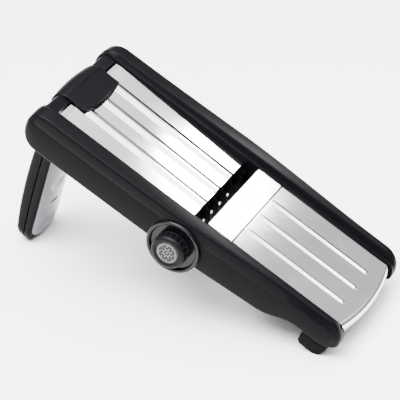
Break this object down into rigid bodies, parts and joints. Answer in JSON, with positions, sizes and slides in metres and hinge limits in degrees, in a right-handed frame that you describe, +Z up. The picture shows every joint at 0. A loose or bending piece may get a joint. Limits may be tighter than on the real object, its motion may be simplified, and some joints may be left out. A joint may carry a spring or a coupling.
{
  "type": "mandoline slicer",
  "caption": "Folding kitchen mandoline with a ribbed steel runway, fixed straight blade, side knob that sets slice thickness, and a folding leg that hooks over the upper end.",
  "frame": {"origin": "middle of the footprint, on the table the slicer stands on, leg unfolded", "axes": "+X down the slicer from the leg to the lip, +Y across it away from the knob, +Z up from the table"},
  "size_m": [0.3956, 0.1818, 0.1988],
  "materials": {
    "black_abs": "fine moulded grain",
    "black_gloss": "smooth moulded gloss",
    "black_soft": "soft satin grip",
    "satin_silver": "satin metallic coating",
    "black_rubber": "matte non-slip",
    "blade_steel": "finely ground with a bright bevel",
    "polished_steel": "polished stainless sheet",
    "plain_steel": "plain drawn stainless",
    "black_nylon": "black moulded nylon"
  },
  "bodies": {
    "frame": {"near_side_rail": "black_abs", "far_side_rail": "black_abs", "end_cap": "black_abs", "tie_rods": "plain_steel", "straight_blade": "blade_steel", "blade_holder": "black_abs", "blade_screws": "plain_steel", "landing_plate": "polished_steel", "landing_support": "black_abs", "landing_screws": "plain_steel", "front_feet": "black_rubber", "shaft_bushes": "black_nylon", "knob_bezel": "black_gloss", "detent_spring": "plain_steel"},
    "runway": {"runway_plate": "polished_steel", "runway_carrier": "black_abs", "runway_screws": "plain_steel", "runway_hinge_pins": "plain_steel", "follower_pads": "black_nylon"},
    "lift_knob": {"knob": "black_soft", "dial_insert": "black_gloss", "cam_shaft": "plain_steel", "lift_cams": "black_nylon", "detent_wheel": "black_nylon", "shaft_clip": "plain_steel"},
    "leg": {"hook": "black_abs", "leg_outer_shell": "black_abs", "leg_inner_shell": "black_abs", "leg_grip_plate": "satin_silver", "leg_foot": "black_rubber", "leg_screws": "plain_steel"}
  },
  "joints": [
    {"name": "leg_fold", "type": "hinge", "parent": "frame", "child": "leg", "pos_m": [-0.12862, 0.00713, 0.18233], "axis": [0, 1, 0], "range_deg": [-66, 0]},
    {"name": "runway_lift", "type": "hinge", "parent": "frame", "child": "runway", "pos_m": [-0.10589, 0.00713, 0.17622], "axis": [0, 1, 0], "range_deg": [-2.6, 0]},
    {"name": "knob_turn", "type": "hinge", "parent": "frame", "child": "lift_knob", "pos_m": [0.02001, 0.00713, 0.08873], "axis": [0, 1, 0], "range_deg": [0, 240]}
  ],
  "couplings": [
    {"joint": "knob_turn", "follows": "runway_lift", "ratio": -92.308}
  ]
}
